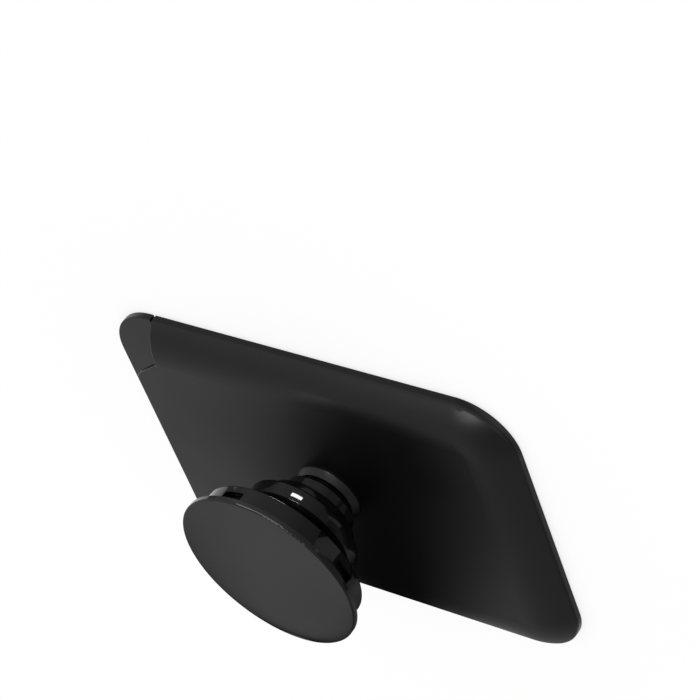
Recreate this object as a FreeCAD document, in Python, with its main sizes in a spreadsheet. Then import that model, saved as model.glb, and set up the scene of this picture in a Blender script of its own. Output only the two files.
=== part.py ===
import FreeCAD, Part
import math
import os

import Sketcher

# A card holder for the back of a phone: a flat pocket for bank cards, open at one end,
# with a fold-out grip at the middle of its front. Lengths are in millimetres.
# The holder lies on its adhesive back at z = 0, centred on the origin.
# The card mouth is at -X, and the grip stands out along +Z.

DIMENSIONS = {
    # Body
    "body_length": 98.4,
    "body_width": 69.5,
    "body_height": 5.4,
    "corner_radius": 11.5,
    "side_height": 1.6,
    "crown_width": 9.2,
    "crown_roll": 1.2,
    "skirt_wall": 1.6,
    # Card mouth
    "lip_side": 12.7,
    "lip_middle": 5.4,
    "tongue_width": 41.0,
    "notch_width": 50.8,
    "tongue_round": 2.5,
    "notch_round": 1.0,
    "mouth_round": 0.5,
    # Card pocket
    "card_width": 54.0,
    "card_length": 85.6,
    "card_gap": 0.25,
    "card_setback": 0.3,
    "slot_height": 2.6,
    # Back plate and adhesive pad
    "plate_thickness": 1.5,
    "plate_gap": 0.15,
    "plate_round": 0.25,
    "seam_gap": 0.3,
    "pad_thickness": 0.8,
    "pad_recess": 0.4,
    "pad_margin": 7.0,
    "pad_round": 5.0,
    "pad_gap": 0.3,
    # Grip foot and base collar; the grip stands a little nearer the card mouth
    "grip_offset": 1.1,
    "flange_radius": 6.2,
    "flange_thickness": 0.6,
    "flange_gap": 0.1,
    "neck_radius": 4.2,
    "neck_gap": 0.15,
    "collar_radius": 7.4,
    "collar_height": 1.6,
    "collar_foot": 0.3,
    "collar_slope": 0.9,
    "collar_round": 0.3,
    "seat_gap": 0.1,
    # Bellows folds, from the foot outwards
    "fold_wall": 1.1,
    "fold_draft": 0.2,
    "stem_radius": 6.4,
    "stem_height": 1.4,
    "step_1": 1.7,
    "fold_1_height": 3.25,
    "step_2": 2.05,
    "fold_2_height": 2.8,
    "step_3": 2.75,
    "fold_3_height": 4.45,
    "flare_step": 2.7,
    "flare_height": 3.0,
    "rim_thickness": 0.9,
    "rim_gap": 0.12,
    # Cap ring and disc
    "throat_gap": 0.6,
    "lip_width": 0.8,
    "lip_thickness": 0.8,
    "cap_wall": 1.5,
    "cap_height": 4.5,
    "cap_round": 0.3,
    "disc_overhang": 1.8,
    "disc_thickness": 1.2,
    "disc_round": 0.35,
    "disc_seam": 0.15,
    "spigot_wall": 1.6,
    # Snap latches between disc and cap ring
    "latch_count": 4,
    "latch_turn": 12.5,
    "window_width": 5.2,
    "window_height": 2.75,
    "tab_gap": 0.2,
    "tab_setback": 1.35,
}


def cell(alias):
    """Expression that reads one driving dimension."""
    return f"Sizes.{alias}"


def minus(first, *others):
    return "(" + " - ".join((first,) + others) + ")"


def plus(*terms):
    return "(" + " + ".join(terms) + ")"


def negative(expression):
    return f"(-1 * {expression})"


# Heights above the floor
UNDERSIDE = minus(cell("pad_thickness"), cell("pad_recess"))
POCKET_FLOOR = plus(UNDERSIDE, cell("plate_thickness"))
POCKET_ROOF = plus(POCKET_FLOOR, cell("slot_height"))
FACE = plus(UNDERSIDE, cell("body_height"))
SIDE_TOP = plus(UNDERSIDE, cell("side_height"))
FOOT_TOP = plus(POCKET_ROOF, cell("flange_gap"), cell("flange_thickness"))
COLLAR_TOP = plus(FACE, cell("collar_height"))
STEM_BASE = plus(COLLAR_TOP, cell("seat_gap"))
FOLD_BASES = [plus(STEM_BASE, cell("stem_height"))]
for fold in (1, 2):
    FOLD_BASES.append(plus(FOLD_BASES[-1], cell(f"fold_{fold}_height")))
FLARE_BASE = plus(FOLD_BASES[-1], cell("fold_3_height"))
CAP_BASE = plus(FLARE_BASE, cell("flare_height"))
CAP_TOP = plus(CAP_BASE, cell("cap_height"))
RIM_BASE = plus(CAP_BASE, cell("lip_thickness"), cell("rim_gap"))
RIM_TOP = plus(RIM_BASE, cell("rim_thickness"))
DISC_BASE = plus(CAP_TOP, cell("disc_seam"))
DISC_TOP = plus(DISC_BASE, cell("disc_thickness"))

# Places in plan
HALF_LENGTH = f"{cell('body_length')} / 2"
HALF_WIDTH = f"{cell('body_width')} / 2"
MOUTH_SIDE = plus(negative(HALF_LENGTH), cell("lip_side"))
MOUTH_MIDDLE = plus(negative(HALF_LENGTH), cell("lip_middle"))
CARD_STOP = plus(MOUTH_MIDDLE, cell("card_setback"), cell("card_length"))
CARD_HALF = plus(f"{cell('card_width')} / 2", cell("card_gap"))
SKIRT_END = minus(HALF_LENGTH, cell("skirt_wall"))
SKIRT_SIDE = minus(HALF_WIDTH, cell("skirt_wall"))
GRIP_X = negative(cell("grip_offset"))
OVERRUN = "2"

# Radii of the grip
FOLD_RADII = [plus(cell("stem_radius"), cell("step_1"))]
for fold in (2, 3):
    FOLD_RADII.append(plus(FOLD_RADII[-1], cell(f"step_{fold}")))
FLARE_RADIUS = plus(FOLD_RADII[-1], cell("flare_step"))
THROAT = plus(FLARE_RADIUS, cell("throat_gap"))
CAP_BORE = plus(THROAT, cell("lip_width"))
CAP_RADIUS = plus(CAP_BORE, cell("cap_wall"))
DISC_RADIUS = plus(CAP_RADIUS, cell("disc_overhang"))
SPIGOT_OUTER = minus(CAP_BORE, cell("rim_gap"))
SPIGOT_INNER = minus(SPIGOT_OUTER, cell("spigot_wall"))

# Geometry and vertex numbers of a sketch's own origin and axes
SKETCH_ORIGIN = (-1, 1)
SKETCH_AXES = {"level": -1, "upright": -2}

document = FreeCAD.newDocument("card_holder")
sheet = document.addObject("Spreadsheet::Sheet", "Sizes")
for row, (alias, size) in enumerate(DIMENSIONS.items(), start=1):
    sheet.set(f"A{row}", alias.replace("_", " "))
    sheet.set(f"B{row}", str(size))
    sheet.setAlias(f"B{row}", alias)
document.recompute()


def size(alias):
    """Present value of one driving dimension."""
    return float(sheet.get(alias))


def new_body(name):
    body = document.addObject("PartDesign::Body", name)
    body.Label = name
    return body


def origin_feature(body, role):
    return next(item for item in body.Origin.OriginFeatures if item.Role == role)


def new_sketch(body, name, role="XY_Plane", lift=None):
    """Sketch on one of the body's own planes, lifted along that plane's normal."""
    sketch = body.newObject("Sketcher::SketchObject", name)
    sketch.AttachmentSupport = [(origin_feature(body, role), "")]
    sketch.MapMode = "FlatFace"
    if lift:
        sketch.setExpression("AttachmentOffset.Base.z", lift)
    return sketch


def pin_point(sketch, point, across, up):
    """Hold a point of a sketch at two expressions measured from the origin."""
    now = sketch.getPoint(*point)
    for kind, axis, expression, start in (
        ("DistanceX", SKETCH_AXES["upright"], across, now.x),
        ("DistanceY", SKETCH_AXES["level"], up, now.y),
    ):
        if expression == "0":
            sketch.addConstraint(Sketcher.Constraint("PointOnObject", *point, axis))
        else:
            index = sketch.addConstraint(Sketcher.Constraint(kind, *SKETCH_ORIGIN, *point, start))
            sketch.setExpression(f"Constraints[{index}]", expression)


def draw_polygon(sketch, corners):
    """Closed loop of straight lines through corners given as pairs of expressions."""
    first = sketch.GeometryCount
    count = len(corners)
    start = [
        FreeCAD.Vector(math.cos(2 * math.pi * i / count), math.sin(2 * math.pi * i / count), 0)
        for i in range(count)
    ]
    for i in range(count):
        sketch.addGeometry(Part.LineSegment(start[i], start[(i + 1) % count]))
    for i in range(count):
        following = first + (i + 1) % count
        sketch.addConstraint(Sketcher.Constraint("Coincident", first + i, 2, following, 1))
    for i, (across, up) in enumerate(corners):
        pin_point(sketch, (first + i, 1), across, up)


def draw_rectangle(sketch, left, right, low, high):
    draw_polygon(sketch, [(left, low), (right, low), (right, high), (left, high)])


def draw_end_path(sketch, left, right, side, radius):
    """Path along one long side, round the closed end and back along the other side."""
    bend_x = minus(right, radius)
    bend_y = minus(side, radius)
    runs = [
        ((left, side), (bend_x, side), (-2, 2), (1, 2)),
        ((right, bend_y), (right, negative(bend_y)), (2, 1), (2, -1)),
        ((bend_x, negative(side)), (left, negative(side)), (1, -2), (-2, -2)),
    ]
    bends = [((1, 1), 0, "Vertical"), ((1, -1), -math.pi / 2, "Horizontal")]
    for step, (begin, end, spot_0, spot_1) in enumerate(runs):
        line = sketch.addGeometry(Part.LineSegment(FreeCAD.Vector(*spot_0, 0), FreeCAD.Vector(*spot_1, 0)))
        pin_point(sketch, (line, 1), *begin)
        pin_point(sketch, (line, 2), *end)
        if step > 0:
            sketch.addConstraint(Sketcher.Constraint("Coincident", line - 1, 1, line, 1))
        if step < len(bends):
            centre, low, alignment = bends[step]
            circle = Part.Circle(FreeCAD.Vector(*centre, 0), FreeCAD.Vector(0, 0, 1), 1)
            bend = sketch.addGeometry(Part.ArcOfCircle(circle, low, low + math.pi / 2))
            sketch.addConstraint(Sketcher.Constraint("Coincident", bend, 2, line, 2))
            sketch.addConstraint(Sketcher.Constraint(alignment, bend, 3, bend, 2))


def close_path(sketch):
    """Straight line from the end of a sketch's open path back to its start."""
    last = sketch.GeometryCount - 1
    ends = sketch.getPoint(last, 2), sketch.getPoint(0, 1)
    closing = sketch.addGeometry(Part.LineSegment(*ends))
    sketch.addConstraint(Sketcher.Constraint("Coincident", last, 2, closing, 1))
    sketch.addConstraint(Sketcher.Constraint("Coincident", closing, 2, 0, 1))


def draw_circle(sketch, radius, across="0", up="0"):
    index = sketch.addGeometry(Part.Circle(FreeCAD.Vector(), FreeCAD.Vector(0, 0, 1), 1))
    pin_point(sketch, (index, 3), across, up)
    constraint = sketch.addConstraint(Sketcher.Constraint("Radius", index, 1.0))
    sketch.setExpression(f"Constraints[{constraint}]", radius)


def add_pad(body, sketch, name, length, reversed_way=False):
    pad = body.newObject("PartDesign::Pad", name)
    pad.Profile = sketch
    pad.setExpression("Length", length)
    pad.Reversed = reversed_way
    return pad


def add_pocket(body, sketch, name, depth, reversed_way=False):
    """Pocket that must take material away from the body."""
    document.recompute()
    before = body.Shape.Volume
    pocket = body.newObject("PartDesign::Pocket", name)
    pocket.Profile = sketch
    pocket.setExpression("Length", depth)
    pocket.Reversed = reversed_way
    document.recompute()
    if body.Shape.Volume >= before:
        raise RuntimeError(f"{name} cuts nothing")
    return pocket


def revolve(body, sketch, name):
    turned = body.newObject("PartDesign::Revolution", name)
    turned.Profile = sketch
    turned.ReferenceAxis = (sketch, ["V_Axis"])
    turned.Angle = 360
    return turned


def add_fillet(body, name, radius, wanted):
    """Round every edge of the body that wanted() picks."""
    document.recompute()
    base = body.Tip
    edges = [f"Edge{i}" for i, edge in enumerate(base.Shape.Edges, start=1) if wanted(edge)]
    if not edges:
        raise RuntimeError(f"{name} finds no edge")
    fillet = body.newObject("PartDesign::Fillet", name)
    fillet.Base = (base, edges)
    fillet.setExpression("Radius", radius)
    document.recompute()
    return fillet


def add_polar_pattern(body, feature, name):
    pattern = body.newObject("PartDesign::PolarPattern", name)
    pattern.Originals = [feature]
    pattern.Axis = (origin_feature(body, "Z_Axis"), [""])
    pattern.Angle = 360
    pattern.setExpression("Occurrences", cell("latch_count"))
    body.Tip = pattern
    return pattern


def near(first, second):
    return abs(first - second) < 1e-3


def is_upright(edge):
    """A straight edge that runs along Z."""
    box = edge.BoundBox
    return near(box.XLength, 0) and near(box.YLength, 0) and box.ZLength > 0


def upright_at(edge, x_place, y_place):
    centre = edge.BoundBox.Center
    return is_upright(edge) and near(centre.x, x_place) and near(abs(centre.y), y_place)


def widest_ring(body, pick):
    """Test for the widest full circle of a body: pick is max for its upper one, min for its lower one."""
    document.recompute()
    rings = [edge for edge in body.Shape.Edges if edge.isClosed() and hasattr(edge.Curve, "Radius")]
    radius = max(ring.Curve.Radius for ring in rings)
    height = pick(ring.Curve.Center.z for ring in rings if near(ring.Curve.Radius, radius))

    def wanted(edge):
        if not edge.isClosed() or not hasattr(edge.Curve, "Radius"):
            return False
        return near(edge.Curve.Radius, radius) and near(edge.Curve.Center.z, height)

    return wanted


def place_grip(body):
    """Stand a piece of the grip on the grip's axis, turned to where the latches are."""
    body.setExpression("Placement.Base.x", GRIP_X)
    body.setExpression("Placement.Rotation.Angle", f"{cell('latch_turn')} * 1 deg")


half_length = size("body_length") / 2
half_width = size("body_width") / 2
mouth_side = size("lip_side") - half_length
mouth_middle = size("lip_middle") - half_length


def make_crown(body):
    """Rolled edge along both long sides and the closed end, above an upright side."""
    flat_side = minus(HALF_WIDTH, cell("crown_width"))
    start = negative(HALF_LENGTH)

    profile = new_sketch(body, "CrownProfile", "YZ_Plane", start)
    clear_y = plus(HALF_WIDTH, OVERRUN)
    clear_z = plus(FACE, OVERRUN)
    points = [(HALF_WIDTH, SIDE_TOP), (clear_y, SIDE_TOP), (clear_y, clear_z), (flat_side, clear_z),
              (flat_side, FACE)]
    spots = [(2, 0), (3, 0), (3, 3), (0, 3), (0, 2)]
    for (x0, y0), (x1, y1) in zip(spots, spots[1:]):
        profile.addGeometry(Part.LineSegment(FreeCAD.Vector(x0, y0, 0), FreeCAD.Vector(x1, y1, 0)))
    arc = profile.addGeometry(
        Part.ArcOfCircle(Part.Circle(FreeCAD.Vector(0, 0, 0), FreeCAD.Vector(0, 0, 1), 2), 0, math.pi / 2)
    )
    for i in range(len(points) - 2):
        profile.addConstraint(Sketcher.Constraint("Coincident", i, 2, i + 1, 1))
    profile.addConstraint(Sketcher.Constraint("Coincident", arc - 1, 2, arc, 2))
    profile.addConstraint(Sketcher.Constraint("Coincident", arc, 1, 0, 1))
    for i, (across, up) in enumerate(points[:-1]):
        pin_point(profile, (i, 1), across, up)
    pin_point(profile, (arc, 2), flat_side, FACE)
    profile.addConstraint(Sketcher.Constraint("Vertical", arc, 2, arc, 3))

    path = new_sketch(body, "CrownPath", "XY_Plane", SIDE_TOP)
    draw_end_path(path, start, HALF_LENGTH, HALF_WIDTH, cell("corner_radius"))
    document.recompute()

    before = body.Shape.Volume
    crown = body.newObject("PartDesign::SubtractivePipe", "Crown")
    crown.Profile = profile
    crown.Spine = (path, [f"Edge{i}" for i in range(1, len(path.Shape.Edges) + 1)])
    document.recompute()
    if body.Shape.Volume >= before:
        raise RuntimeError("the crown cuts nothing")
    add_fillet(body, "CrownRoll", cell("crown_roll"), is_crown_crease)


def crease_height():
    return size("pad_thickness") - size("pad_recess") + size("side_height")


def is_crown_crease(edge):
    """An edge where the crown meets the upright side."""
    box = edge.BoundBox
    return near(box.ZMin, crease_height()) and near(box.ZMax, crease_height())


def is_mouth_edge(edge):
    """An upper edge of the cover at the card mouth, from one long side to the other."""
    box = edge.BoundBox
    roof = size("pad_thickness") - size("pad_recess") + size("plate_thickness") + size("slot_height")
    if box.XMax > mouth_side + size("notch_round") or is_upright(edge) or near(box.ZMax, roof):
        return False
    return box.ZMax > crease_height()


def make_cover_shell():
    """Moulded front with a rolled edge: it holds the cards against the back plate."""
    body = new_body("cover_shell")
    outline = new_sketch(body, "CoverOutline", lift=UNDERSIDE)
    tongue_half = f"{cell('tongue_width')} / 2"
    notch_half = f"{cell('notch_width')} / 2"
    draw_polygon(outline, [
        (MOUTH_SIDE, negative(HALF_WIDTH)),
        (HALF_LENGTH, negative(HALF_WIDTH)),
        (HALF_LENGTH, HALF_WIDTH),
        (MOUTH_SIDE, HALF_WIDTH),
        (MOUTH_SIDE, notch_half),
        (MOUTH_MIDDLE, tongue_half),
        (MOUTH_MIDDLE, negative(tongue_half)),
        (MOUTH_SIDE, negative(notch_half)),
    ])
    add_pad(body, outline, "CoverBlock", cell("body_height"))
    add_fillet(body, "CoverCorners", cell("corner_radius"),
               lambda edge: upright_at(edge, half_length, half_width))
    add_fillet(body, "TongueCorners", cell("tongue_round"),
               lambda edge: upright_at(edge, mouth_middle, size("tongue_width") / 2))
    add_fillet(body, "NotchCorners", cell("notch_round"),
               lambda edge: upright_at(edge, mouth_side, size("notch_width") / 2))
    make_crown(body)

    recess = new_sketch(body, "PlateSeat", lift=UNDERSIDE)
    seat_radius = minus(cell("corner_radius"), cell("skirt_wall"))
    draw_end_path(recess, negative(HALF_LENGTH), SKIRT_END, SKIRT_SIDE, seat_radius)
    close_path(recess)
    add_pocket(body, recess, "PlateSeatCut", cell("plate_thickness"), reversed_way=True)

    slot = new_sketch(body, "CardSlot", lift=POCKET_FLOOR)
    draw_rectangle(slot, negative(HALF_LENGTH), CARD_STOP, negative(CARD_HALF), CARD_HALF)
    add_pocket(body, slot, "CardSlotCut", cell("slot_height"), reversed_way=True)

    seat = new_sketch(body, "FlangeSeat", lift=POCKET_ROOF)
    draw_circle(seat, plus(cell("flange_radius"), cell("neck_gap")), GRIP_X)
    seat_depth = plus(cell("flange_gap"), cell("flange_thickness"))
    add_pocket(body, seat, "FlangeSeatCut", seat_depth, reversed_way=True)

    bore = new_sketch(body, "NeckBore", lift=POCKET_ROOF)
    draw_circle(bore, plus(cell("neck_radius"), cell("neck_gap")), GRIP_X)
    add_pocket(body, bore, "NeckBoreCut", plus(minus(FACE, POCKET_ROOF), OVERRUN), reversed_way=True)
    add_fillet(body, "MouthEdge", cell("mouth_round"), is_mouth_edge)
    return body


def make_back_plate():
    """Flat back with a full-width end that shows at the card mouth."""
    body = new_body("back_plate")
    inset_side = minus(SKIRT_SIDE, cell("plate_gap"))
    shoulder = minus(MOUTH_SIDE, cell("seam_gap"))
    inset_end = minus(SKIRT_END, cell("plate_gap"))
    outline = new_sketch(body, "PlateOutline", lift=UNDERSIDE)
    draw_polygon(outline, [
        (negative(HALF_LENGTH), negative(HALF_WIDTH)),
        (shoulder, negative(HALF_WIDTH)),
        (shoulder, negative(inset_side)),
        (inset_end, negative(inset_side)),
        (inset_end, inset_side),
        (shoulder, inset_side),
        (shoulder, HALF_WIDTH),
        (negative(HALF_LENGTH), HALF_WIDTH),
    ])
    add_pad(body, outline, "PlateBlock", cell("plate_thickness"))
    add_fillet(body, "LipCorners", cell("corner_radius"),
               lambda edge: upright_at(edge, -half_length, half_width))
    inset = size("skirt_wall") + size("plate_gap")
    add_fillet(body, "PlateCorners", minus(cell("corner_radius"), cell("skirt_wall"), cell("plate_gap")),
               lambda edge: upright_at(edge, half_length - inset, half_width - inset))

    shoulder_place = mouth_side - size("seam_gap")
    lip_top = size("pad_thickness") - size("pad_recess") + size("plate_thickness")

    def is_lip_edge(edge):
        box = edge.BoundBox
        on_shoulder = near(box.XMin, shoulder_place) and near(box.XLength, 0)
        return near(box.ZMin, lip_top) and box.XMax < shoulder_place + 0.1 and not on_shoulder

    add_fillet(body, "LipEdge", cell("plate_round"), is_lip_edge)

    recess = new_sketch(body, "PadSeat", lift=UNDERSIDE)
    seat_x = plus(minus(HALF_LENGTH, cell("pad_margin")), cell("pad_gap"))
    seat_y = plus(minus(HALF_WIDTH, cell("pad_margin")), cell("pad_gap"))
    draw_rectangle(recess, negative(seat_x), seat_x, negative(seat_y), seat_y)
    add_pocket(body, recess, "PadSeatCut", cell("pad_recess"), reversed_way=True)
    corner_x = half_length - size("pad_margin") + size("pad_gap")
    corner_y = half_width - size("pad_margin") + size("pad_gap")
    add_fillet(body, "PadSeatCorners", cell("pad_round"),
               lambda edge: upright_at(edge, corner_x, corner_y) or upright_at(edge, -corner_x, corner_y))
    return body


def make_adhesive_pad():
    """Sticky foam sheet that stands a little proud of the back plate."""
    body = new_body("adhesive_pad")
    outline = new_sketch(body, "PadOutline")
    pad_x = minus(HALF_LENGTH, cell("pad_margin"))
    pad_y = minus(HALF_WIDTH, cell("pad_margin"))
    draw_rectangle(outline, negative(pad_x), pad_x, negative(pad_y), pad_y)
    add_pad(body, outline, "PadSheet", cell("pad_thickness"))
    add_fillet(body, "PadCorners", cell("pad_round"), is_upright)
    return body


def make_base_collar():
    """Sloping ring on the front face that steadies the foot of the bellows."""
    body = new_body("base_collar")
    profile = new_sketch(body, "CollarProfile", "XZ_Plane")
    bore = plus(cell("neck_radius"), cell("neck_gap"))
    draw_polygon(profile, [
        (bore, FACE),
        (cell("collar_radius"), FACE),
        (cell("collar_radius"), plus(FACE, cell("collar_foot"))),
        (minus(cell("collar_radius"), cell("collar_slope")), COLLAR_TOP),
        (bore, COLLAR_TOP),
    ])
    revolve(body, profile, "CollarRing")
    add_fillet(body, "CollarEdge", cell("collar_round"), widest_ring(body, max))
    place_grip(body)
    return body


def make_bellows():
    """Soft stepped bellows: a foot through the cover, three folds, a flare and a rim in the cap ring."""
    body = new_body("bellows")
    wall = cell("fold_wall")
    draft = cell("fold_draft")

    def inside(radius, *extra):
        return minus(plus(radius, *extra), wall)

    foot_base = plus(POCKET_ROOF, cell("flange_gap"))
    rim_radius = minus(CAP_BORE, cell("rim_gap"))
    radii = [cell("stem_radius")] + FOLD_RADII
    bases = [STEM_BASE] + FOLD_BASES

    corners = [
        ("0", foot_base),
        (cell("flange_radius"), foot_base),
        (cell("flange_radius"), FOOT_TOP),
        (cell("neck_radius"), FOOT_TOP),
        (cell("neck_radius"), STEM_BASE),
    ]
    for radius, base, top in zip(radii, bases, bases[1:] + [FLARE_BASE]):
        corners += [(radius, base), (plus(radius, draft), top)]
    corners += [
        (FLARE_RADIUS, CAP_BASE),
        (FLARE_RADIUS, RIM_BASE),
        (rim_radius, RIM_BASE),
        (rim_radius, RIM_TOP),
        (inside(FLARE_RADIUS), RIM_TOP),
        (inside(FLARE_RADIUS), CAP_BASE),
        (inside(radii[-1], draft), FLARE_BASE),
    ]
    for radius, next_radius, base in zip(radii[:0:-1], radii[-2::-1], bases[:0:-1]):
        corners += [(inside(radius), plus(base, wall)), (inside(next_radius, draft), plus(base, wall))]
    corners += [(inside(radii[0]), plus(STEM_BASE, wall)), ("0", plus(STEM_BASE, wall))]

    profile = new_sketch(body, "BellowsProfile", "XZ_Plane")
    draw_polygon(profile, corners)
    revolve(body, profile, "BellowsFolds")
    place_grip(body)
    return body


def window_low():
    return minus(CAP_TOP, cell("window_height"))


def make_cap_ring():
    """Hard ring under the disc: its inner lip holds the rim of the bellows."""
    body = new_body("cap_ring")
    profile = new_sketch(body, "CapProfile", "XZ_Plane")
    lip_top = plus(CAP_BASE, cell("lip_thickness"))
    draw_polygon(profile, [
        (THROAT, CAP_BASE),
        (CAP_RADIUS, CAP_BASE),
        (CAP_RADIUS, CAP_TOP),
        (CAP_BORE, CAP_TOP),
        (CAP_BORE, lip_top),
        (THROAT, lip_top),
    ])
    revolve(body, profile, "CapWall")
    window = new_sketch(body, "LatchWindow", "XZ_Plane")
    half = f"{cell('window_width')} / 2"
    draw_rectangle(window, negative(half), half, window_low(), plus(CAP_TOP, OVERRUN))
    cut = add_pocket(body, window, "LatchWindowCut", plus(CAP_RADIUS, OVERRUN), reversed_way=True)
    add_polar_pattern(body, cut, "LatchWindows")
    add_fillet(body, "CapEdge", cell("cap_round"), widest_ring(body, min))
    place_grip(body)
    return body


def make_disc():
    """Flat round head of the grip, with a spigot and latch tabs that snap into the cap ring."""
    body = new_body("grip_disc")
    profile = new_sketch(body, "DiscProfile", "XZ_Plane")
    spigot_base = plus(RIM_TOP, cell("rim_gap"))
    draw_polygon(profile, [
        ("0", DISC_BASE),
        (SPIGOT_INNER, DISC_BASE),
        (SPIGOT_INNER, spigot_base),
        (SPIGOT_OUTER, spigot_base),
        (SPIGOT_OUTER, DISC_BASE),
        (DISC_RADIUS, DISC_BASE),
        (DISC_RADIUS, DISC_TOP),
        ("0", DISC_TOP),
    ])
    revolve(body, profile, "DiscHead")

    inside = minus(SPIGOT_OUTER, f"{cell('spigot_wall')} / 2")
    tab = new_sketch(body, "LatchTab", "XZ_Plane", inside)
    half = minus(f"{cell('window_width')} / 2", cell("tab_gap"))
    low = plus(window_low(), cell("tab_gap"))
    draw_rectangle(tab, negative(half), half, low, minus(CAP_TOP, cell("tab_gap")))
    reach = minus(CAP_RADIUS, cell("tab_setback"), inside)
    block = add_pad(body, tab, "LatchTabBlock", reach)
    document.recompute()
    add_polar_pattern(body, block, "LatchTabs")
    add_fillet(body, "DiscEdge", cell("disc_round"), widest_ring(body, max))
    place_grip(body)
    return body


pieces = [
    make_cover_shell(),
    make_back_plate(),
    make_adhesive_pad(),
    make_base_collar(),
    make_bellows(),
    make_cap_ring(),
    make_disc(),
]
document.recompute()

for item in document.Objects:
    if "Invalid" in item.State or "Error" in item.State:
        raise RuntimeError(f"{item.Label} failed: {item.State}")
for piece in pieces:
    if piece.Shape.isNull() or not piece.Shape.isValid():
        raise RuntimeError(f"{piece.Label} has no sound shape")

os.makedirs("parts", exist_ok=True)
for piece in pieces:
    piece.Shape.exportStep(os.path.join("parts", f"{piece.Label}.step"))
    box = piece.Shape.BoundBox
    print(f"{piece.Label}: {len(piece.Shape.Solids)} solid, {piece.Shape.Volume:.1f} mm3, "
          f"x {box.XMin:.2f} to {box.XMax:.2f}, y {box.YMin:.2f} to {box.YMax:.2f}, "
          f"z {box.ZMin:.2f} to {box.ZMax:.2f}")
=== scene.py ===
import math

import bmesh
import bpy
from mathutils import Matrix, Vector


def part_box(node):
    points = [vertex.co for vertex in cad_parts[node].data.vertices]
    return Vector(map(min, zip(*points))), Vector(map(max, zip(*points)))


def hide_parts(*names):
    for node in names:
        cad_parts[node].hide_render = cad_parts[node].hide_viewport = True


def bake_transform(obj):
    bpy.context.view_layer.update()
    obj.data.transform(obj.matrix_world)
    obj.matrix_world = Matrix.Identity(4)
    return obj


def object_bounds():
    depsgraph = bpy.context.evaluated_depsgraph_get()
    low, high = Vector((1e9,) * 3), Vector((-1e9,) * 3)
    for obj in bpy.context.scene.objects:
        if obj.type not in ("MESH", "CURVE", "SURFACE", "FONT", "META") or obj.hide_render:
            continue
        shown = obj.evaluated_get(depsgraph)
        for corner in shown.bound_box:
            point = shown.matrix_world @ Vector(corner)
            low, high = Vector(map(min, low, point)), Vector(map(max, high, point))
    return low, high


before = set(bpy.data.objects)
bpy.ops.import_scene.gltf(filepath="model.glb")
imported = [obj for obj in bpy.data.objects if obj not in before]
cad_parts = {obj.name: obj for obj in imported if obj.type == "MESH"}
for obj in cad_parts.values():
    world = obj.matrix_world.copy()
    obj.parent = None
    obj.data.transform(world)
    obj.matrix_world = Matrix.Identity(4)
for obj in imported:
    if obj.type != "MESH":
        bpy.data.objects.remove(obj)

bl_info = {
    "name": "Phone card holder",
    "version": (1, 0, 0),
    "blender": (4, 5, 0),
    "location": "3D View > Sidebar > Card Holder",
    "description": "Finishes a card holder with a pull-out grip and sets up its studio",
    "category": "Object",
}

FULL_TURN = 2 * math.pi
SHARP_ANGLE = math.radians(35)
MERGE_REACH = 1e-6
LATHE_STEPS = 128
ROUNDING_STEPS = 5
CAD_BOX = [list(corner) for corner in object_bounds()]

# The grip's axis and the front face of the cover, in metres
COLLAR_LOW, COLLAR_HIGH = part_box("base_collar")
GRIP_X = (COLLAR_LOW[0] + COLLAR_HIGH[0]) / 2
FACE_Z = COLLAR_LOW[2]

# Camera of the photograph, measured from the grip's axis at the front face
CAMERA_PLACE = Vector((0.31029, 0.37675, 0.24862))
CAMERA_RIGHT = Vector((0.7921, -0.2852, -0.5397))
CAMERA_UP = Vector((-0.2122, 0.7003, -0.6816))
CAMERA_LENS = 140.2
CAMERA_SENSOR = 36.0
CAMERA_CLIP = (0.01, 50.0)

# Leaning card that the front mirrors: its foot, slope and size, and the painted shadow of the holder on it
CARD_FOOT_Y = -0.0346
CARD_FOOT_Z = FACE_Z - 0.0054
CARD_LEAN = (0.4755, 0.879)
CARD_REACH = 1.2
CARD_SIDE_FALL = ((0.010, 0.045), (1.0, 0.62))
CARD_FAR_FALL = ((0.060, 0.130), (1.0, 0.85))
SHADE_MIDDLE = (0.0080, -0.58)
SHADE_HALF = (0.0235, 0.80)
SHADE_STEPS = ((0.0, 0.02), (0.25, 0.03), (0.4, 0.11), (0.55, 0.25), (0.65, 0.36),
               (0.77, 0.58), (0.88, 0.76), (1.0, 0.92), (1.15, 0.99), (1.3, 1.0))
SHADE_LAST = SHADE_STEPS[-1][0]
SHADE_EDGE = (0.0395, 0.0455)

# Bright part of the card that the disc mirrors: the sheared image of the disc
DISC_ZONE_ACROSS = (-0.0354, 1.131)
DISC_ZONE_ALONG = (-0.0908, 2.137)
DISC_ZONE_EDGE = (0.0212, 0.0238)
DISC_ZONE_LEVEL = (0.86, -5.5)

# Strip lamp that the highest fold mirrors, measured from the grip's axis at the front face
STRIP_PLACE = (0.0035, 0.030, 0.0064)
STRIP_WAY = Vector((0.0, 1.0, 0.0))
STRIP_SIZE = (0.009, 0.0013)

# Small lamp that the rounded rim of the disc mirrors as a streak, measured in the same way
STREAK_PLACE = (0.0056, 0.0233, 0.0229)
STREAK_WAY = Vector((-0.0755, 0.9786, 0.0))
STREAK_SIZE = (0.015, 0.0042)

# The floor lies a hair below the pad, so that their faces don't share a plane
FLOOR_DROP = 0.00002
FLOOR_ROUGHNESS = 0.9
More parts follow.
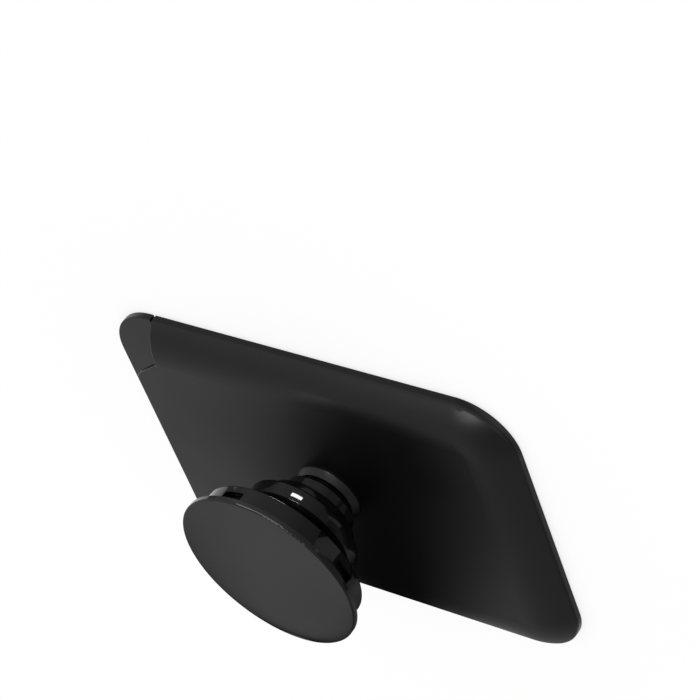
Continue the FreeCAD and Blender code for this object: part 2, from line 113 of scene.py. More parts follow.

# Grey cards over the floor that the polished sides mirror: from and to, and the share of their light. The dim
# card at the closed end, from y -38 mm to 2 mm, is a painted shadow of the part.
FLAG_HEIGHT = 0.0003
FLAGS = {
    "side_flag_near": ((-0.65, 0.0349), (0.65, 0.042), 1.0),
    "mouth_flag": ((-0.65, 0.021), (-0.050, 0.0349), 0.6),
    "end_flag_near": ((0.0503, -0.035), (0.0525, 0.0349), 1.0),
    "end_flag_gap": ((0.0525, -0.038), (0.058, 0.0349), 0.15),
    "end_flag_bright": ((0.058, 0.002), (0.069, 0.0349), 1.9),
    "end_flag_dark": ((0.058, -0.038), (0.069, 0.002), 0.3),
    "end_flag_middle": ((0.069, -0.038), (0.085, 0.0349), 0.7),
    "end_flag_far": ((0.085, 0.0), (0.65, 0.0349), 0.45),
    "end_flag_low": ((0.085, -0.2), (0.65, 0.0), 0.8),
}

# Large grey card beyond the long side, whose light changes with the way that it is seen from the grip
SIDE_FLAG = ((-0.65, 0.042), (0.65, 0.65))
SIDE_FLAG_RIGHT = ((0.0, 1.1), (2.05, 1.15))
SIDE_FLAG_LEFT = ((-1.2, -0.5), (0.5, 1.0))

# Small soft lamp that one rounded corner mirrors
CORNER_INSET = (0.0063, 0.0014)
CORNER_WAY = Vector((-0.09, 0.45, 0.885))
CORNER_DISTANCE = 0.5
CORNER_SIZE = (0.28, 0.10)

# Depths below the top of the disc between which its polished rim turns into the satin face
DISC_EDGE = (0.00012, 0.00002)

# Scales of the noise in the finishes, and how far the roughness strays with it
SHELL_CLOUD = 60.0
SHELL_GRAIN = 9000.0
SHELL_STRAY = 0.03
GLOSS_CLOUD = 90.0
GLOSS_WAVE = 250.0
GLOSS_STRAY = 0.02
FOAM_ROUGHNESS = 0.8
NOISE_RANGE = (0.3, 0.7)


class CardHolderFinish(bpy.types.PropertyGroup):
    """Colours and finishes of the holder."""

    shell_colour: bpy.props.FloatVectorProperty(
        name="Shell colour", description="Matte black of the cover, back plate and disc",
        subtype="COLOR", size=3, min=0.0, max=1.0, default=(0.003, 0.003, 0.0031))
    shell_roughness: bpy.props.FloatProperty(
        name="Shell roughness", description="How matte the moulded shell is",
        subtype="FACTOR", min=0.0, max=1.0, default=0.36)
    gloss_colour: bpy.props.FloatVectorProperty(
        name="Gloss colour", description="Black of the bellows and the cap ring",
        subtype="COLOR", size=3, min=0.0, max=1.0, default=(0.002, 0.002, 0.0021))
    gloss_roughness: bpy.props.FloatProperty(
        name="Gloss roughness", description="How polished the bellows and the cap ring are",
        subtype="FACTOR", min=0.0, max=1.0, default=0.05)
    rim_polish: bpy.props.FloatProperty(
        name="Rim polish", description="Roughness of the disc's rim as a share of its face's",
        subtype="FACTOR", min=0.0, max=1.0, default=0.15)
    foam_colour: bpy.props.FloatVectorProperty(
        name="Foam colour", description="Dark grey of the adhesive pad",
        subtype="COLOR", size=3, min=0.0, max=1.0, default=(0.035, 0.035, 0.036))


def size(name, description, default):
    """Length property in metres."""
    return bpy.props.FloatProperty(
        name=name, description=description, subtype="DISTANCE", unit="LENGTH",
        min=0.0, precision=5, default=default)


class BellowsSizes(bpy.types.PropertyGroup):
    """Sizes of the stepped bellows."""

    flange_radius: size("Flange radius", "Radius of the hidden flange on the foot", 0.0062)
    neck_radius: size("Neck radius", "Radius of the hidden neck", 0.0042)
    stem_radius: size("Stem radius", "Radius of the stem above the collar", 0.0064)
    fold_1_radius: size("Fold 1 radius", "Radius of the lowest fold", 0.0081)
    fold_2_radius: size("Fold 2 radius", "Radius of the middle fold", 0.01015)
    fold_3_radius: size("Fold 3 radius", "Radius of the highest fold", 0.0129)
    waist_radius: size("Waist radius", "Radius where the waist turns into the flare", 0.01265)
    flare_radius: size("Flare radius", "Radius at the top of the flare", 0.0156)
    rim_radius: size("Rim radius", "Radius of the rim inside the cap ring", 0.01688)
    flange_base: size("Flange base", "Height of the underside of the flange", 0.0046)
    flange_top: size("Flange top", "Height of the top of the flange", 0.0052)
    stem_base: size("Stem base", "Height where the stem starts", 0.0075)
    fold_1_base: size("Fold 1 base", "Height where the lowest fold starts", 0.0089)
    fold_2_base: size("Fold 2 base", "Height where the middle fold starts", 0.01215)
    fold_3_base: size("Fold 3 base", "Height where the highest fold starts", 0.01495)
    waist_base: size("Waist base", "Height where the highest fold ends in a waist", 0.0180)
    flare_base: size("Flare base", "Height where the flare starts", 0.0190)
    flare_top: size("Flare top", "Height where the flare ends", 0.0224)
    rim_base: size("Rim base", "Height of the underside of the rim", 0.0233)
    rim_top: size("Rim top", "Height of the top of the rim", 0.0242)
    wall: size("Wall", "Thickness of the folds", 0.0011)
    fold_1_lean: size("Fold 1 lean", "How much narrower the lowest fold is at its top", 0.00105)
    fold_2_lean: size("Fold 2 lean", "How much narrower the middle fold is at its top", 0.00040)
    fold_3_lean: size("Fold 3 lean", "How much narrower the highest fold is at its top", 0.0005)
    rounding: size("Rounding", "Radius of the rounded edges of the folds", 0.00035)


class StudioLook(bpy.types.PropertyGroup):
    """Floor and light of the studio."""

    floor_size: bpy.props.FloatProperty(
        name="Floor size", description="Width of the pale floor",
        subtype="DISTANCE", unit="LENGTH", min=0.5, default=6.0)
    floor_glow: bpy.props.FloatProperty(
        name="Floor glow", description="White that the floor shows the camera beside its shaded part",
        subtype="FACTOR", min=0.0, max=1.0, default=0.78)
    room_light: bpy.props.FloatProperty(
        name="Room light", description="Brightness of the white room",
        min=0.0, max=2.0, default=0.85)
    card_light: bpy.props.FloatProperty(
        name="Card light", description="Brightness of the white card that the holder mirrors",
        min=0.0, max=4.0, default=0.62)
    strip_light: bpy.props.FloatProperty(
        name="Strip light", description="Brightness of the strip lamp that the folds mirror",
        min=0.0, max=100.0, default=60.0)
    streak_light: bpy.props.FloatProperty(
        name="Streak light", description="Brightness of the lamp that the disc's rim mirrors",
        min=0.0, max=50.0, default=3.5)
    flag_light: bpy.props.FloatProperty(
        name="Flag light", description="Brightness of the grey cards that the sides mirror",
        min=0.0, max=2.0, default=0.45)
    corner_light: bpy.props.FloatProperty(
        name="Corner light", description="Brightness of the small lamp that one rounded corner mirrors",
        min=0.0, max=50.0, default=8.0)


def node(name):
    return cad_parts[name]


def new_material(name, colour):
    material = bpy.data.materials.new(name)
    material.use_nodes = True
    material.diffuse_color = (*colour, 1.0)
    return material


def add_node(material, kind, **settings):
    made = material.node_tree.nodes.new(kind)
    for key, value in settings.items():
        setattr(made, key, value)
    return made


def shader_of(material):
    return material.node_tree.nodes["Principled BSDF"]


def join(material, start, end):
    material.node_tree.links.new(start, end)


def noise(material, scale, detail):
    """Noise on the piece's own coordinates."""
    place = add_node(material, "ShaderNodeTexCoord")
    grain = add_node(material, "ShaderNodeTexNoise")
    grain.inputs["Scale"].default_value = scale
    grain.inputs["Detail"].default_value = detail
    join(material, place.outputs["Object"], grain.inputs["Vector"])
    return grain.outputs["Fac"]


def own_place(material):
    """Outputs X, Y and Z of the place on the piece."""
    place = add_node(material, "ShaderNodeTexCoord")
    parts = add_node(material, "ShaderNodeSeparateXYZ")
    join(material, place.outputs["Object"], parts.inputs[0])
    return parts.outputs


def set_range(step, span, levels):
    """Set the ends of a Map Range node."""
    for name, number in zip(("From Min", "From Max", "To Min", "To Max"), (*span, *levels)):
        step.inputs[name].default_value = number


def spread(material, source, low, high):
    """Value that runs from low to high as source runs over a noise's middle range."""
    reach = add_node(material, "ShaderNodeMapRange")
    set_range(reach, NOISE_RANGE, (low, high))
    join(material, source, reach.inputs["Value"])
    return reach.outputs["Result"]


def grain_bump(material, source, strength, depth):
    bump = add_node(material, "ShaderNodeBump")
    bump.inputs["Strength"].default_value = strength
    bump.inputs["Distance"].default_value = depth
    join(material, source, bump.inputs["Height"])
    join(material, bump.outputs["Normal"], shader_of(material).inputs["Normal"])


def above(material, heights, levels):
    """Value that runs between two levels over a span of heights on the piece."""
    return glide(material, own_place(material)["Z"], heights, levels)


def moulded_plastic(name, colour, roughness, edge=None):
    """Fine-grained black moulding with a slightly uneven sheen, polished below an edge where one is given."""
    material = new_material(name, colour)
    shader = shader_of(material)
    shader.inputs["Base Color"].default_value = (*colour, 1.0)
    shader.inputs["Specular IOR Level"].default_value = 0.35
    cloud = noise(material, SHELL_CLOUD, 3.0)
    sheen = spread(material, cloud, roughness - SHELL_STRAY, roughness + SHELL_STRAY)
    grain = noise(material, SHELL_GRAIN, 2.0)
    if edge:
        heights, polish = edge
        sheen = shade_math(material, "MULTIPLY", sheen, above(material, heights, (polish, 1.0)))
        grain = shade_math(material, "MULTIPLY", grain, above(material, heights, (0.0, 1.0)))
    join(material, sheen, shader.inputs["Roughness"])
    grain_bump(material, grain, 0.25, 0.00002)
    return material


def polished_plastic(name, colour, roughness):
    """Glossy black with a faint unevenness."""
    material = new_material(name, colour)
    shader = shader_of(material)
    shader.inputs["Base Color"].default_value = (*colour, 1.0)
    shader.inputs["Specular IOR Level"].default_value = 0.22
    cloud = noise(material, GLOSS_CLOUD, 2.0)
    sheen = spread(material, cloud, roughness - GLOSS_STRAY, roughness + GLOSS_STRAY)
    join(material, sheen, shader.inputs["Roughness"])
    wave = noise(material, GLOSS_WAVE, 1.0)
    grain_bump(material, wave, 0.02, 0.0001)
    return material


def dress(name, material):
    """Give a node of the frame its finish."""
    piece = node(name)
    piece.data.materials.clear()
    piece.data.materials.append(material)


class NodeTree:
    """Small helper that adds and links the nodes of one geometry tree."""

    def __init__(self, name):
        self.tree = bpy.data.node_groups.new(name, "GeometryNodeTree")
        self.tree.interface.new_socket("Geometry", in_out="OUTPUT", socket_type="NodeSocketGeometry")
        self.entry = self.tree.nodes.new("NodeGroupInput")
        self.exit = self.tree.nodes.new("NodeGroupOutput")
        self.identifiers = {}

    def add_input(self, name, kind="NodeSocketFloat"):
        socket = self.tree.interface.new_socket(name, in_out="INPUT", socket_type=kind)
        self.identifiers[name] = socket.identifier
        return self.entry.outputs[name]

    def add(self, kind, inputs=None, **settings):
        made = self.tree.nodes.new(kind)
        for key, value in settings.items():
            setattr(made, key, value)
        for key, value in (inputs or {}).items():
            self.feed(made.inputs[key], value)
        return made

    def feed(self, socket, value):
        if isinstance(value, bpy.types.NodeSocket):
            self.tree.links.new(value, socket)
        else:
            socket.default_value = value

    def math(self, operation, first, second):
        return self.add("ShaderNodeMath", {0: first, 1: second}, operation=operation).outputs[0]

    def finish(self, geometry, material):
        realized = self.add("GeometryNodeRealizeInstances", {"Geometry": geometry})
        painted = self.add("GeometryNodeSetMaterial", {
            "Geometry": realized.outputs[0], "Material": material})
        self.tree.links.new(painted.outputs[0], self.exit.inputs[0])


def bellows_corners(nodes, sizes):
    """Corners of the bellows' wall in section, as pairs of radius and height, once round."""
    def plus(first, second):
        return nodes.math("ADD", first, second)

    def minus(first, second):
        return nodes.math("SUBTRACT", first, second)

    radii = [sizes[f"{tier}_radius"] for tier in ("stem", "fold_1", "fold_2", "fold_3")]
    bases = [sizes[f"{tier}_base"] for tier in ("stem", "fold_1", "fold_2", "fold_3", "waist")]
    leans = [0.0] + [sizes[f"{tier}_lean"] for tier in ("fold_1", "fold_2", "fold_3")]
    tiers = list(zip(radii, leans, bases, bases[1:]))
    wall = sizes["wall"]
    corners = [
        (sizes["flange_radius"], sizes["flange_base"]),
        (sizes["flange_radius"], sizes["flange_top"]),
        (sizes["neck_radius"], sizes["flange_top"]),
        (sizes["neck_radius"], sizes["stem_base"]),
    ]
    for radius, lean, base, top in tiers:
        corners += [(radius, base), (minus(radius, lean), top)]
    bore = minus(sizes["flare_radius"], wall)
    corners += [
        (sizes["waist_radius"], sizes["flare_base"]),
        (sizes["flare_radius"], sizes["flare_top"]),
        (sizes["flare_radius"], sizes["rim_base"]),
        (sizes["rim_radius"], sizes["rim_base"]),
        (sizes["rim_radius"], sizes["rim_top"]),
        (bore, sizes["rim_top"]),
        (bore, sizes["flare_top"]),
        (minus(sizes["waist_radius"], wall), sizes["flare_base"]),
    ]
    for radius, lean, base, top in reversed(tiers):
        upper = top if top is bases[-1] else plus(top, wall)
        corners += [(minus(minus(radius, lean), wall), upper), (minus(radius, wall), plus(base, wall))]
    return corners


def lathe_tree(name, corner_maker, size_names):
    """Geometry tree that turns a section with rounded corners about the grip's axis."""
    nodes = NodeTree(name)
    material = nodes.add_input("Material", "NodeSocketMaterial")
    axis = nodes.add_input("Axis X")
    steps = nodes.add_input("Steps", "NodeSocketInt")
    sizes = {key: nodes.add_input(key.replace("_", " ").capitalize()) for key in size_names}
    corners = corner_maker(nodes, sizes)

    index = nodes.add("GeometryNodeInputIndex").outputs[0]
    choice = nodes.add("GeometryNodeIndexSwitch", data_type="VECTOR")
    while len(choice.index_switch_items) < len(corners):
        choice.index_switch_items.new()
    nodes.feed(choice.inputs["Index"], index)
    for number, (radius, height) in enumerate(corners):
        place = nodes.add("ShaderNodeCombineXYZ", {"X": radius, "Z": height})
        nodes.feed(choice.inputs[number + 1], place.outputs[0])

    line = nodes.add("GeometryNodeMeshLine", {"Count": len(corners)})
    section = nodes.add("GeometryNodeSetPosition", {
        "Geometry": line.outputs[0], "Position": choice.outputs[0]})
    curve = nodes.add("GeometryNodeMeshToCurve", {"Mesh": section.outputs[0]})
    closed = nodes.add("GeometryNodeSetSplineCyclic", {"Geometry": curve.outputs[0], "Cyclic": True})
    rounding = {"Radius": sizes["rounding"], "Limit Radius": True, "Count": ROUNDING_STEPS}
    rounded = nodes.add("GeometryNodeFilletCurve", {"Curve": closed.outputs[0], **rounding}, mode="POLY")
    points = nodes.add("GeometryNodeCurveToPoints", {"Curve": rounded.outputs[0]}, mode="EVALUATED")
    count = nodes.add("GeometryNodeAttributeDomainSize", {"Geometry": points.outputs[0]},
                      component="POINTCLOUD")

    # One column of the grid is the section, and each further column is it turned on
    rows = nodes.math("ADD", count.outputs["Point Count"], 1.0)
    columns = nodes.math("ADD", steps, 1.0)
    grid = nodes.add("GeometryNodeMeshGrid", {"Vertices X": columns, "Vertices Y": rows})
    column = nodes.math("FLOOR", nodes.math("DIVIDE", index, rows), 0.0)
    row = nodes.math("SUBTRACT", index, nodes.math("MULTIPLY", column, rows))
    row_index = nodes.math("MODULO", row, count.outputs["Point Count"])
    position = nodes.add("GeometryNodeInputPosition").outputs[0]
    sample = nodes.add("GeometryNodeSampleIndex", {"Geometry": points.outputs[0]},
                       data_type="FLOAT_VECTOR", domain="POINT")
    nodes.feed(sample.inputs["Value"], position)
    nodes.feed(sample.inputs["Index"], row_index)
    flat = nodes.add("ShaderNodeSeparateXYZ", {0: sample.outputs[0]})
    turn = nodes.math("MULTIPLY", nodes.math("DIVIDE", column, steps), FULL_TURN)
    across = nodes.math("MULTIPLY", flat.outputs["X"], nodes.math("COSINE", turn, 0.0))
    deep = nodes.math("MULTIPLY", flat.outputs["X"], nodes.math("SINE", turn, 0.0))
    place = nodes.add("ShaderNodeCombineXYZ", {
        "X": nodes.math("ADD", across, axis), "Y": deep, "Z": flat.outputs["Z"]})
    turned = nodes.add("GeometryNodeSetPosition", {
        "Geometry": grid.outputs["Mesh"], "Position": place.outputs[0]})
    merged = nodes.add("GeometryNodeMergeByDistance", {
        "Geometry": turned.outputs[0], "Distance": MERGE_REACH})
    nodes.finish(merged.outputs[0], material)
    return nodes


def made_by(nodes, name, values):
    """Plain mesh object that a geometry tree gives for these input values."""
    maker = bpy.data.objects.new(name + "_maker", bpy.data.meshes.new(name + "_maker"))
    bpy.context.scene.collection.objects.link(maker)
    modifier = maker.modifiers.new("shape", "NODES")
    modifier.node_group = nodes.tree
    for key, value in values.items():
        modifier[nodes.identifiers[key]] = value
    evaluated = maker.evaluated_get(bpy.context.evaluated_depsgraph_get())
    mesh = bpy.data.meshes.new_from_object(evaluated)
    bpy.data.objects.remove(maker)
    mesh.name = name
    tidy_mesh(mesh)
    piece = bpy.data.objects.new(name, mesh)
    bpy.context.scene.collection.objects.link(piece)
    return piece


def tidy_mesh(mesh):
    """Merge what is left of doubles, point the faces outwards and shade by angle."""
    shape = bmesh.new()
    shape.from_mesh(mesh)
    bmesh.ops.remove_doubles(shape, verts=shape.verts, dist=MERGE_REACH)
    bmesh.ops.recalc_face_normals(shape, faces=shape.faces)
    for face in shape.faces:
        face.smooth = True
    shape.to_mesh(mesh)
    shape.free()
    if not mesh.polygons:
        raise RuntimeError(f"{mesh.name} has no faces")
    mesh.set_sharp_from_angle(angle=SHARP_ANGLE)


class CARDHOLDER_OT_shell(bpy.types.Operator):
    """Finish the cover, the back plate and the collar"""

    bl_idname = "cardholder.shell"
    bl_label = "Finish Shell"

    def execute(self, context):
        finish = context.scene.card_holder_finish
        shell = moulded_plastic("satin_black_shell", tuple(finish.shell_colour), finish.shell_roughness)
        for name in ("cover_shell", "back_plate", "base_collar"):
            dress(name, shell)
        return {"FINISHED"}


class CARDHOLDER_OT_disc(bpy.types.Operator):
    """Finish the disc: a satin face with a polished rim"""

    bl_idname = "cardholder.disc"
    bl_label = "Finish Disc"

    def execute(self, context):
        finish = context.scene.card_holder_finish
        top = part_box("grip_disc")[1][2]
        heights = tuple(top - depth for depth in DISC_EDGE)
        disc = moulded_plastic("satin_black_disc", tuple(finish.shell_colour), finish.shell_roughness,
                               edge=(heights, finish.rim_polish))
        dress("grip_disc", disc)
        return {"FINISHED"}


class CARDHOLDER_OT_bellows(bpy.types.Operator):
    """Turn the glossy stepped bellows as one fixed shape between the foot and the head, where the real
    bellows shortens
    """

    bl_idname = "cardholder.bellows"
    bl_label = "Make Bellows"

    def execute(self, context):
        finish = context.scene.card_holder_finish
        sizes = context.scene.card_holder_bellows
        gloss = polished_plastic("gloss_black_folds", tuple(finish.gloss_colour), finish.gloss_roughness)
        names = list(sizes.__annotations__)
        nodes = lathe_tree("turned_bellows", bellows_corners, names)
        values = {key.replace("_", " ").capitalize(): getattr(sizes, key) for key in names}
        values.update({"Material": gloss, "Axis X": GRIP_X, "Steps": LATHE_STEPS})
        folds = made_by(nodes, "soft_folds", values)
        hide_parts("bellows")
        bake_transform(folds)
        return {"FINISHED"}


class CARDHOLDER_OT_cap(bpy.types.Operator):
    """Finish the polished cap ring under the disc"""

    bl_idname = "cardholder.cap"
    bl_label = "Finish Cap Ring"

    def execute(self, context):
        finish = context.scene.card_holder_finish
        gloss = polished_plastic("gloss_black_ring", tuple(finish.gloss_colour), finish.gloss_roughness)
        dress("cap_ring", gloss)
        return {"FINISHED"}


class CARDHOLDER_OT_pad(bpy.types.Operator):
    """Finish the adhesive foam pad"""

    bl_idname = "cardholder.pad"
    bl_label = "Finish Pad"

    def execute(self, context):
        finish = context.scene.card_holder_finish
        foam = moulded_plastic("grey_foam", tuple(finish.foam_colour), FOAM_ROUGHNESS)
        dress("adhesive_pad", foam)
        return {"FINISHED"}


def make_camera():
    camera = bpy.data.cameras.new("photo_camera")
    camera.lens = CAMERA_LENS
    camera.sensor_width = CAMERA_SENSOR
    camera.clip_start, camera.clip_end = CAMERA_CLIP
    holder = bpy.data.objects.new("photo_camera", camera)
    bpy.context.scene.collection.objects.link(holder)
    right = CAMERA_RIGHT.normalized()
    back = right.cross(CAMERA_UP).normalized()
    up = back.cross(right).normalized()
    turn = Matrix((right, up, back)).transposed()
    place = CAMERA_PLACE + Vector((GRIP_X, 0.0, FACE_Z))
    holder.matrix_world = Matrix.Translation(place) @ turn.to_4x4()
    bpy.context.scene.camera = holder


def white_for_camera(tree, strength):
    """Strength for the rays that show the background, seen straight or mirrored, and none for others."""
    path = tree.nodes.new("ShaderNodeLightPath")
    first = tree.nodes.new("ShaderNodeMath")
    first.operation = "MAXIMUM"
    tree.links.new(path.outputs["Is Camera Ray"], first.inputs[0])
    tree.links.new(path.outputs["Is Transmission Ray"], first.inputs[1])
    second = tree.nodes.new("ShaderNodeMath")
    second.operation = "MAXIMUM"
    tree.links.new(first.outputs[0], second.inputs[0])
    tree.links.new(path.outputs["Is Glossy Ray"], second.inputs[1])
    scaled = tree.nodes.new("ShaderNodeMath")
    scaled.operation = "MULTIPLY"
    scaled.inputs[1].default_value = strength
    tree.links.new(second.outputs[0], scaled.inputs[0])
    return scaled.outputs[0]


def make_floor(look):
    half = look.floor_size / 2
    mesh = bpy.data.meshes.new("floor")
    corners = [(-half, -half, 0.0), (half, -half, 0.0), (half, half, 0.0), (-half, half, 0.0)]
    mesh.from_pydata(corners, [], [(0, 1, 2, 3)])
    floor = bpy.data.objects.new("floor", mesh)
    bpy.context.scene.collection.objects.link(floor)
    floor.location.z = -FLOOR_DROP
    shaded = min(1.0, (1.0 - look.floor_glow) / max(look.room_light, 0.01))
    material = new_material("pale_floor", (shaded, shaded, shaded))
    shader = shader_of(material)
    shader.inputs["Base Color"].default_value = (shaded, shaded, shaded, 1.0)
    shader.inputs["Roughness"].default_value = FLOOR_ROUGHNESS
    shader.inputs["Specular IOR Level"].default_value = 0.0
    shader.inputs["Emission Color"].default_value = (1.0, 1.0, 1.0, 1.0)
    join(material, white_for_camera(material.node_tree, look.floor_glow), shader.inputs["Emission Strength"])
    mesh.materials.append(material)


def place_card(name, low, high, matrix, material):
    """Flat card of light between two corners that only reflections see."""
    mesh = bpy.data.meshes.new(name)
    (left, front), (right, back) = low, high
    corners = [(left, front, 0.0), (right, front, 0.0), (right, back, 0.0), (left, back, 0.0)]
    mesh.from_pydata(corners, [], [(0, 1, 2, 3)])
    mesh.materials.append(material)
    card = bpy.data.objects.new(name, mesh)
    bpy.context.scene.collection.objects.link(card)
    card.matrix_world = matrix
    card.visible_camera = False
    card.visible_diffuse = False
    card.visible_transmission = False
    card.visible_shadow = False


def place_lamp(name, lamp_size, light, place, way):
    """Flat lamp of a brightness that shines back along a way and only shows in reflections."""
    lamp = bpy.data.lights.new(name, "AREA")
    lamp.shape = "RECTANGLE"
    lamp.size, lamp.size_y = lamp_size
    lamp.energy = light * math.pi * lamp_size[0] * lamp_size[1]
    holder = bpy.data.objects.new(name, lamp)
    bpy.context.scene.collection.objects.link(holder)
    holder.matrix_world = Matrix.Translation(place) @ way.to_track_quat("Z", "Y").to_matrix().to_4x4()
    holder.visible_camera = False
    holder.visible_diffuse = False
    holder.visible_transmission = False


def glow_material(name):
    material = bpy.data.materials.new(name)
    material.use_nodes = True
    tree = material.node_tree
    tree.nodes.clear()
    output = add_node(material, "ShaderNodeOutputMaterial")
    glow = add_node(material, "ShaderNodeEmission")
    join(material, glow.outputs[0], output.inputs["Surface"])
    return material, glow


def shade_math(material, operation, *values):
    step = add_node(material, "ShaderNodeMath", operation=operation)
    for socket, value in zip(step.inputs, values):
        if isinstance(value, bpy.types.NodeSocket):
            join(material, value, socket)
        else:
            socket.default_value = value
    return step.outputs[0]


def glide(material, value, span, levels):
    """Value that runs smoothly between two levels as another crosses a span."""
    step = add_node(material, "ShaderNodeMapRange", interpolation_type="SMOOTHSTEP")
    set_range(step, span, levels)
    join(material, value, step.inputs["Value"])
    return step.outputs["Result"]


def make_mirror_card(look):
    """Leaning white card beside the grip, whose glow carries a painted shade for the shadow that the holder
    casts on a table.
    """
    material, glow = glow_material("mirror_card")
    place = own_place(material)
    across, along = place["X"], place["Y"]

    def line(start, slope, value):
        return shade_math(material, "MULTIPLY_ADD", value, slope, start)

    # Painted shadow of the holder in the glow: darkest along a slanted middle line, lighter out to a half
    # width that grows along the card, and bright past its far edge
    offset = shade_math(material, "SUBTRACT", across, line(*SHADE_MIDDLE, along))
    offset = shade_math(material, "ABSOLUTE", offset)
    reach = shade_math(material, "DIVIDE", offset, line(*SHADE_HALF, along))
    ramp = add_node(material, "ShaderNodeValToRGB")
    while len(ramp.color_ramp.elements) < len(SHADE_STEPS):
        ramp.color_ramp.elements.new(0.5)
    for element, (stop, level) in zip(ramp.color_ramp.elements, SHADE_STEPS):
        element.position = stop / SHADE_LAST
        element.color = (level, level, level, 1.0)
    join(material, shade_math(material, "DIVIDE", reach, SHADE_LAST), ramp.inputs[0])
    beyond = glide(material, along, SHADE_EDGE, (0.0, 1.0))
    level = shade_math(material, "MAXIMUM", ramp.outputs["Color"], beyond)
    # Painted light that lifts the painted shadow where the disc mirrors the card
    disc_x = shade_math(material, "ADD", across, line(*DISC_ZONE_ACROSS, along))
    disc_y = line(*DISC_ZONE_ALONG, along)
    squares = [shade_math(material, "MULTIPLY", value, value) for value in (disc_x, disc_y)]
    away = shade_math(material, "SQRT", shade_math(material, "ADD", *squares))
    inside = glide(material, away, DISC_ZONE_EDGE, (1.0, 0.0))
    zone = shade_math(material, "MULTIPLY", inside, line(*DISC_ZONE_LEVEL, across))
    level = shade_math(material, "MAXIMUM", level, zone)
    level = shade_math(material, "MULTIPLY", level, glide(material, across, *CARD_SIDE_FALL))
    level = shade_math(material, "MULTIPLY", level, glide(material, along, *CARD_FAR_FALL))
    join(material, shade_math(material, "MULTIPLY", level, look.card_light), glow.inputs["Strength"])
    side = Vector((1.0, 0.0, 0.0))
    rise = Vector((0.0, *CARD_LEAN)).normalized()
    turn = Matrix((side, rise, side.cross(rise))).transposed()
    matrix = Matrix.Translation((GRIP_X, CARD_FOOT_Y, CARD_FOOT_Z)) @ turn.to_4x4()
    place_card("mirror_card", (-CARD_REACH, 0.0), (CARD_REACH, CARD_REACH), matrix, material)


def make_strip(look):
    """Small upright strip lamp beside the grip, for the mark on the highest fold."""
    place = Vector(STRIP_PLACE) + Vector((GRIP_X, 0.0, FACE_Z))
    place_lamp("bright_strip", STRIP_SIZE, look.strip_light, place, STRIP_WAY)


def make_streak(look):
    """Small lamp beside the disc, for the streak on its rim."""
    place = Vector(STREAK_PLACE) + Vector((GRIP_X, 0.0, FACE_Z))
    place_lamp("streak_lamp", STREAK_SIZE, look.streak_light, place, STREAK_WAY)


def make_flags(look):
    """Grey cards just above the floor round the part, for the table that the polished sides mirror."""
    matrix = Matrix.Translation((GRIP_X, 0.0, FLAG_HEIGHT))
    for name, (low, high, share) in FLAGS.items():
        material, glow = glow_material(name)
        glow.inputs["Strength"].default_value = look.flag_light * share
        place_card(name, low, high, matrix, material)

    material, glow = glow_material("side_flag")
    place = own_place(material)
    way = shade_math(material, "DIVIDE", place["X"], place["Y"])
    level = shade_math(material, "MULTIPLY", glide(material, way, *SIDE_FLAG_RIGHT),
                       glide(material, way, *SIDE_FLAG_LEFT))
    join(material, shade_math(material, "MULTIPLY", level, look.flag_light), glow.inputs["Strength"])
    place_card("side_flag", *SIDE_FLAG, matrix, material)


def make_corner_light(look):
    """Small soft lamp over the rounded corner at the closed end."""
    corner = Vector((CAD_BOX[1][0] - CORNER_INSET[0], CAD_BOX[1][1] - CORNER_INSET[1], FACE_Z))
    place = corner + CORNER_WAY.normalized() * CORNER_DISTANCE
    place_lamp("corner_light", CORNER_SIZE, look.corner_light, place, CORNER_WAY)


def make_world(look):
    world = bpy.data.worlds.new("white_room")
    bpy.context.scene.world = world
    world.use_nodes = True
    background = world.node_tree.nodes["Background"]
    background.inputs["Color"].default_value = (1.0, 1.0, 1.0, 1.0)
    path = world.node_tree.nodes.new("ShaderNodeLightPath")
    white = world.node_tree.nodes.new("ShaderNodeMapRange")
    white.inputs["To Min"].default_value = look.room_light
    white.inputs["To Max"].default_value = 1.0
    world.node_tree.links.new(path.outputs["Is Camera Ray"], white.inputs["Value"])
    world.node_tree.links.new(white.outputs["Result"], background.inputs["Strength"])


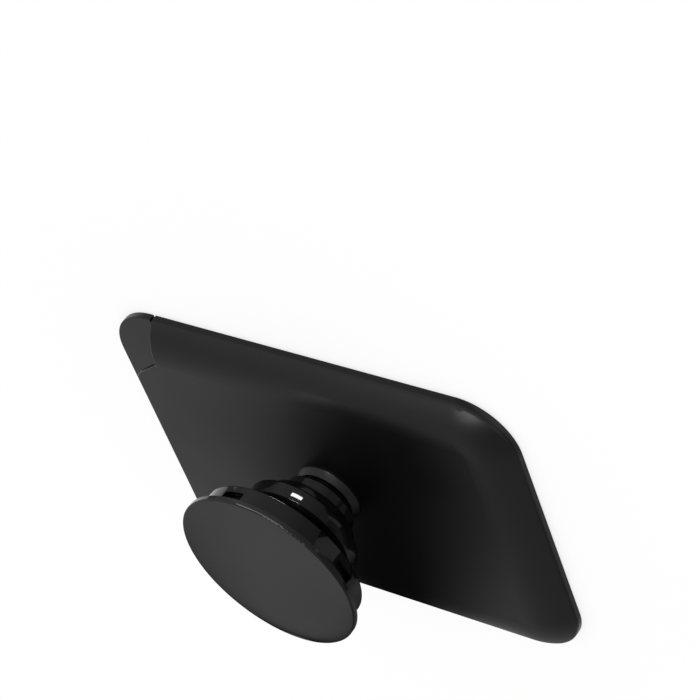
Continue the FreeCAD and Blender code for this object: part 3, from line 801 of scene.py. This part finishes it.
class CARDHOLDER_OT_studio(bpy.types.Operator):
    """Set up the pale floor, the light and the camera"""

    bl_idname = "cardholder.studio"
    bl_label = "Set Up Studio"

    def execute(self, context):
        look = context.scene.card_holder_studio
        make_camera()
        make_floor(look)
        make_mirror_card(look)
        make_strip(look)
        make_streak(look)
        make_flags(look)
        make_corner_light(look)
        make_world(look)
        context.scene.view_settings.view_transform = "Standard"
        return {"FINISHED"}


OPERATORS = (
    CARDHOLDER_OT_studio,
    CARDHOLDER_OT_shell,
    CARDHOLDER_OT_disc,
    CARDHOLDER_OT_bellows,
    CARDHOLDER_OT_cap,
    CARDHOLDER_OT_pad,
)


class CARDHOLDER_PT_panel(bpy.types.Panel):
    """Sizes, colours and steps of the card holder"""

    bl_idname = "CARDHOLDER_PT_panel"
    bl_label = "Card Holder"
    bl_space_type = "VIEW_3D"
    bl_region_type = "UI"
    bl_category = "Card Holder"

    def draw(self, context):
        scene = context.scene
        for group in (scene.card_holder_finish, scene.card_holder_bellows, scene.card_holder_studio):
            for name in group.__annotations__:
                self.layout.prop(group, name)
        for operator in OPERATORS:
            self.layout.operator(operator.bl_idname)


CLASSES = (CardHolderFinish, BellowsSizes, StudioLook) + OPERATORS + (CARDHOLDER_PT_panel,)


def register():
    for item in CLASSES:
        bpy.utils.register_class(item)
    bpy.types.Scene.card_holder_finish = bpy.props.PointerProperty(type=CardHolderFinish)
    bpy.types.Scene.card_holder_bellows = bpy.props.PointerProperty(type=BellowsSizes)
    bpy.types.Scene.card_holder_studio = bpy.props.PointerProperty(type=StudioLook)


def unregister():
    del bpy.types.Scene.card_holder_studio
    del bpy.types.Scene.card_holder_bellows
    del bpy.types.Scene.card_holder_finish
    for item in reversed(CLASSES):
        bpy.utils.unregister_class(item)


def main():
    register()
    bpy.ops.cardholder.studio()
    bpy.ops.cardholder.shell()
    bpy.ops.cardholder.disc()
    bpy.ops.cardholder.bellows()
    bpy.ops.cardholder.cap()
    bpy.ops.cardholder.pad()


if __name__ == "__main__":
    main()
